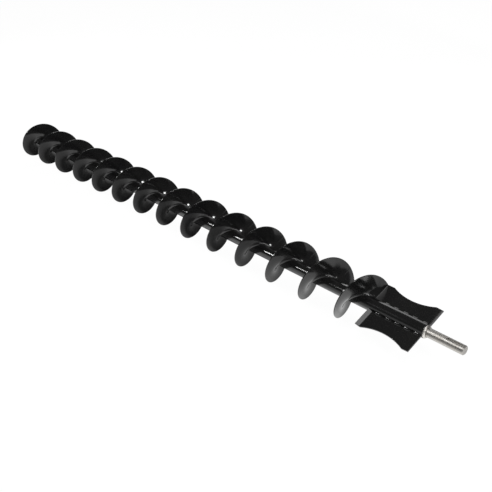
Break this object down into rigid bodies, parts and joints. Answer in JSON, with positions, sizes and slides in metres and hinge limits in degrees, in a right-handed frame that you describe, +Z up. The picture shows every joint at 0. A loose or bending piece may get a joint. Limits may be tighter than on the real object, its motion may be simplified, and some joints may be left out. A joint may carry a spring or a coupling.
{
  "type": "conveyor auger",
  "caption": "Left-hand screw conveyor auger: welded flighting on a tube, a concave-edged discharge paddle, a keyed drive shaft and a bored hub at the far end.",
  "frame": {"origin": "on the auger's axis, at the shoulder of the drive shaft that the drive bearing seats against", "axes": "+X along the axis towards the free, keyed end of the drive shaft; +Z up, with the upper paddle blade 24.4 degrees above +Y"},
  "size_m": [2.1359, 0.15, 0.15],
  "materials": {
    "tube_paint": "gloss black enamel on drawn steel tube",
    "flight_paint": "gloss black enamel on pressed steel plate",
    "paddle_paint": "gloss black enamel on flat steel plate",
    "weld_paint": "gloss black enamel over rippled weld bead",
    "turned_steel": "bare turned steel with fine lathe lines",
    "bare_weld": "bare weld bead, slightly heat tinted",
    "hub_steel": "bored steel, oiled"
  },
  "bodies": {
    "root": {"centre_tube": "tube_paint", "flight_01": "flight_paint", "flight_02": "flight_paint", "flight_03": "flight_paint", "flight_04": "flight_paint", "flight_05": "flight_paint", "flight_06": "flight_paint", "flight_07": "flight_paint", "flight_08": "flight_paint", "flight_09": "flight_paint", "flight_10": "flight_paint", "flight_11": "flight_paint", "flight_12": "flight_paint", "flight_13": "flight_paint", "flight_14": "flight_paint", "flight_butt_welds": "weld_paint", "flight_root_welds_drive_side": "weld_paint", "flight_root_welds_far_side": "weld_paint", "paddle_blade_upper": "paddle_paint", "paddle_blade_lower": "paddle_paint", "paddle_welds_upper": "weld_paint", "paddle_welds_lower": "weld_paint", "flight_end_weld": "weld_paint", "drive_stub_shaft": "turned_steel", "drive_end_weld_ring": "bare_weld", "far_end_hub": "hub_steel", "far_end_weld_ring": "weld_paint"}
  },
  "joints": []
}
